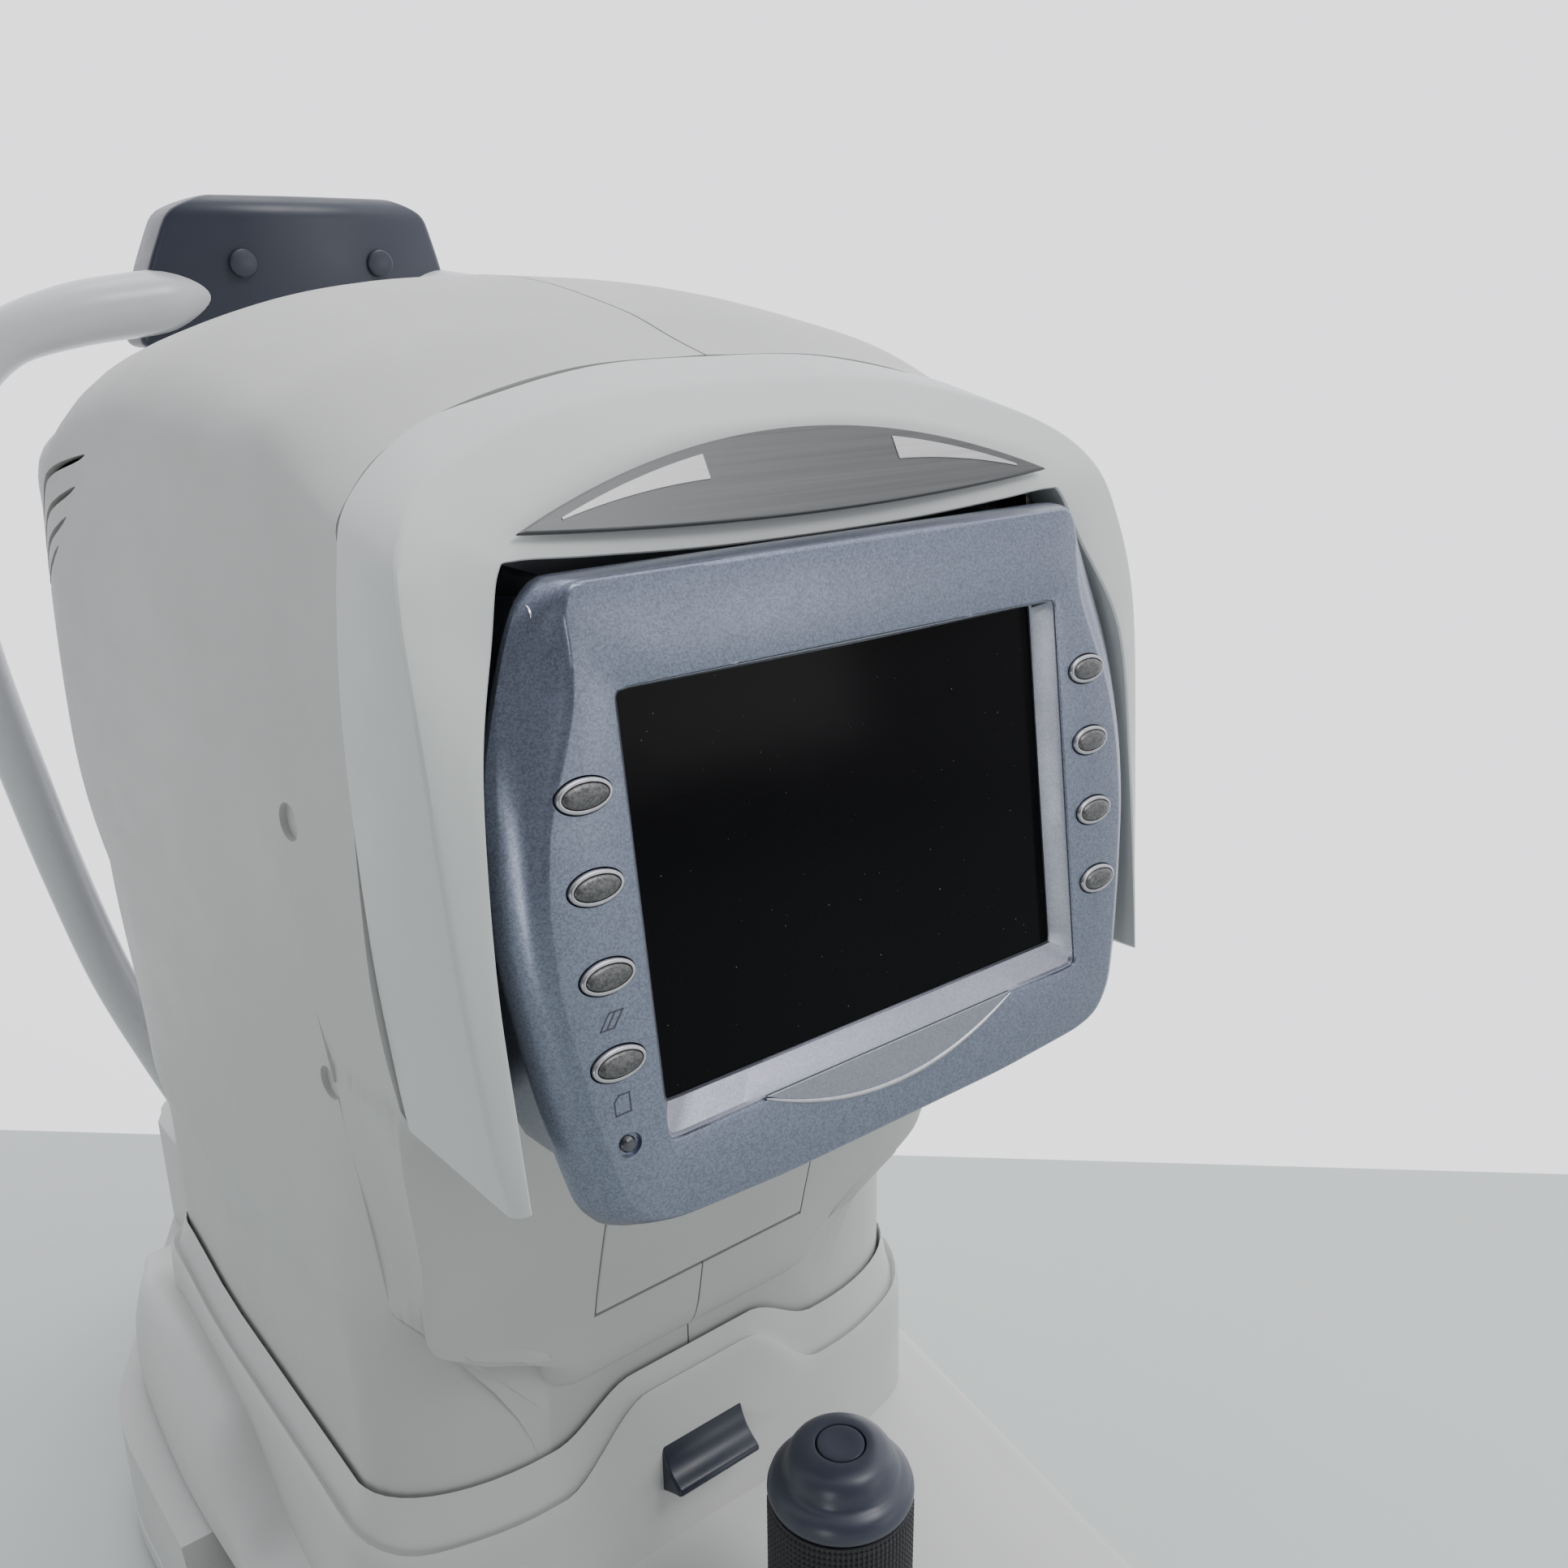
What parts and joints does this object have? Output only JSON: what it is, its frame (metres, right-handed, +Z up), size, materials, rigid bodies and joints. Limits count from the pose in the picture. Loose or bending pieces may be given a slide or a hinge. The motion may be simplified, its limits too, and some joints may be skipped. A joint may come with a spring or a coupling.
{
  "type": "non-contact tonometer and pachymeter",
  "caption": "Table-top air-puff eye pressure meter with tilting screen, joystick stage, rising measuring head, chin rest and forehead frame.",
  "frame": {"origin": "centre of the base footprint on the table, at the underside of the rubber feet", "axes": "+Z up, operator at -Y, patient at +Y, +X to the operator's right; X = 0 is the plane of symmetry"},
  "size_m": [0.26, 0.495, 0.457],
  "materials": {
    "casing": "fine-textured off-white moulded plastic",
    "base_white": "fine-textured off-white moulded plastic, slightly warmer",
    "frame_white": "smooth white plastic over a steel tube",
    "slate_plastic": "matte slate blue-grey plastic",
    "black_rubber": "moulded black rubber",
    "navy_plastic": "satin dark navy plastic",
    "nameplate_silver": "brushed silver plate with bevelled edge",
    "display_paint": "metallic blue-grey paint with fine flake",
    "dark_plastic": "dark grey plastic",
    "screen_gloss": "black gloss screen, switched off",
    "paper": "white thermal paper",
    "sheet_steel": "plain zinc-plated sheet steel",
    "bright_steel": "ground steel",
    "brass": "machined brass",
    "cast_metal": "die-cast aluminium",
    "satin_metal": "satin anodised aluminium",
    "circuit_board": "green circuit board",
    "key_metallic": "dark brushed silver key with bright chamfer"
  },
  "bodies": {
    "base": {"base_tray": "base_white", "rubber_feet": "black_rubber", "base_cover": "base_white", "cover_screws": "bright_steel", "y_racks": "bright_steel", "power_supply": "sheet_steel", "power_inlet": "dark_plastic", "io_panel": "sheet_steel", "chin_housing": "base_white", "chin_actuator": "dark_plastic", "forehead_frame": "frame_white", "forehead_pad": "slate_plastic", "pad_plugs": "slate_plastic", "printer_unit": "dark_plastic"},
    "paper": {"paper_roll": "paper"},
    "door": {"printer_door": "base_white"},
    "rocker": {"power_switch": "dark_plastic"},
    "chinrest": {"chin_post": "bright_steel", "chin_cup": "frame_white"},
    "carriage": {"bearing_blocks": "cast_metal"},
    "axle": {"cross_axle": "bright_steel", "pinions": "brass"},
    "stage": {"stage_plate": "cast_metal", "bush_housing": "cast_metal", "stage_cover": "casing", "z_guides": "bright_steel", "z_motor": "dark_plastic"},
    "lever": {"lock_lever": "navy_plastic"},
    "screw": {"z_screw": "bright_steel"},
    "gimbal": {"gimbal_ring": "bright_steel"},
    "stick": {"joystick_shaft": "bright_steel", "joystick_boot": "black_rubber", "joystick_cap": "slate_plastic"},
    "height_ring": {"knob_ring": "black_rubber"},
    "start": {"start_button": "slate_plastic"},
    "head": {"head_chassis": "cast_metal", "casing_left": "casing", "casing_right": "casing", "hood": "casing", "nameplate": "nameplate_silver", "front_cover": "casing", "rear_panel": "slate_plastic", "nozzle": "satin_metal", "air_cylinder": "cast_metal", "camera_module": "dark_plastic", "main_board": "circuit_board", "casing_screws": "bright_steel"},
    "piston": {"air_piston": "bright_steel"},
    "display": {"display_bezel": "display_paint", "display_back": "dark_plastic", "lcd_panel": "screen_gloss", "display_pins": "bright_steel"},
    "key1": {"key_1": "key_metallic"},
    "key2": {"key_2": "key_metallic"},
    "key3": {"key_3": "key_metallic"},
    "key4": {"key_4": "key_metallic"},
    "key5": {"key_5": "key_metallic"},
    "key6": {"key_6": "key_metallic"},
    "key7": {"key_7": "key_metallic"},
    "key8": {"key_8": "key_metallic"}
  },
  "joints": [
    {"name": "stage_y", "type": "slide", "parent": "base", "child": "carriage", "axis": [0, 1, 0], "range_m": [-0.02, 0.016]},
    {"name": "axle_spin", "type": "hinge", "parent": "carriage", "child": "axle", "pos_m": [0, -0.01, 0.036], "axis": [-1, 0, 0], "range_deg": [-125, 125]},
    {"name": "stage_x", "type": "slide", "parent": "carriage", "child": "stage", "axis": [1, 0, 0], "range_m": [-0.043, 0.043]},
    {"name": "lever_slide", "type": "slide", "parent": "stage", "child": "lever", "axis": [0, 0, -1], "range_m": [0, 0.01]},
    {"name": "screw_spin", "type": "hinge", "parent": "stage", "child": "screw", "pos_m": [0, -0.045, 0.052], "axis": [0, 0, 1], "range_deg": [-460, 1815]},
    {"name": "head_z", "type": "slide", "parent": "stage", "child": "head", "axis": [0, 0, 1], "range_m": [-0.005, 0.02]},
    {"name": "stick_tilt_x", "type": "hinge", "parent": "stage", "child": "gimbal", "pos_m": [0, -0.126, 0.034], "axis": [1, 0, 0], "range_deg": [-12, 12]},
    {"name": "stick_tilt_y", "type": "hinge", "parent": "gimbal", "child": "stick", "pos_m": [0, -0.126, 0.034], "axis": [0, 1, 0], "range_deg": [-12, 12]},
    {"name": "ring_spin", "type": "hinge", "parent": "stick", "child": "height_ring", "pos_m": [0, -0.126, 0.1], "axis": [0, 0, 1], "continuous": true},
    {"name": "start_press", "type": "slide", "parent": "stick", "child": "start", "axis": [0, 0, -1], "range_m": [0, 0.0015], "stiffness_N_per_m": 800, "springref_m": -0.0005},
    {"name": "piston_slide", "type": "slide", "parent": "head", "child": "piston", "axis": [0, 1, 0], "range_m": [0, 0.045], "stiffness_N_per_m": 200, "springref_m": -0.005},
    {"name": "display_tilt", "type": "hinge", "parent": "head", "child": "display", "pos_m": [0, -0.12236, 0.37045], "axis": [-1, 0, 0], "range_deg": [0, 30]},
    {"name": "key1_press", "type": "slide", "parent": "display", "child": "key1", "axis": [0, 0.9903, -0.1392], "range_m": [0, 0.001], "stiffness_N_per_m": 600, "springref_m": -0.0005},
    {"name": "key2_press", "type": "slide", "parent": "display", "child": "key2", "axis": [0, 0.9903, -0.1392], "range_m": [0, 0.001], "stiffness_N_per_m": 600, "springref_m": -0.0005},
    {"name": "key3_press", "type": "slide", "parent": "display", "child": "key3", "axis": [0, 0.9903, -0.1392], "range_m": [0, 0.001], "stiffness_N_per_m": 600, "springref_m": -0.0005},
    {"name": "key4_press", "type": "slide", "parent": "display", "child": "key4", "axis": [0, 0.9903, -0.1392], "range_m": [0, 0.001], "stiffness_N_per_m": 600, "springref_m": -0.0005},
    {"name": "key5_press", "type": "slide", "parent": "display", "child": "key5", "axis": [0, 0.9903, -0.1392], "range_m": [0, 0.001], "stiffness_N_per_m": 600, "springref_m": -0.0005},
    {"name": "key6_press", "type": "slide", "parent": "display", "child": "key6", "axis": [0, 0.9903, -0.1392], "range_m": [0, 0.001], "stiffness_N_per_m": 600, "springref_m": -0.0005},
    {"name": "key7_press", "type": "slide", "parent": "display", "child": "key7", "axis": [0, 0.9903, -0.1392], "range_m": [0, 0.001], "stiffness_N_per_m": 600, "springref_m": -0.0005},
    {"name": "key8_press", "type": "slide", "parent": "display", "child": "key8", "axis": [0, 0.9903, -0.1392], "range_m": [0, 0.001], "stiffness_N_per_m": 600, "springref_m": -0.0005},
    {"name": "chin_lift", "type": "slide", "parent": "base", "child": "chinrest", "axis": [0, 0, 1], "range_m": [-0.031, 0.031]},
    {"name": "door_hinge", "type": "hinge", "parent": "base", "child": "door", "pos_m": [0.1279, 0.077, 0.0177], "axis": [0, 1, 0], "range_deg": [0, 90]},
    {"name": "paper_spin", "type": "hinge", "parent": "base", "child": "paper", "pos_m": [0.1, 0.077, 0.029], "axis": [0, 1, 0], "continuous": true},
    {"name": "power_rocker", "type": "hinge", "parent": "base", "child": "rocker", "pos_m": [0.109, 0.15949, 0.028], "axis": [-0.4664, 0.8846, 0], "range_deg": [-18, 0]}
  ],
  "couplings": [
    {"joint": "axle_spin", "follows": "stage_y", "rad_per_m": 100},
    {"joint": "screw_spin", "follows": "head_z", "rad_per_m": 1570.8}
  ]
}
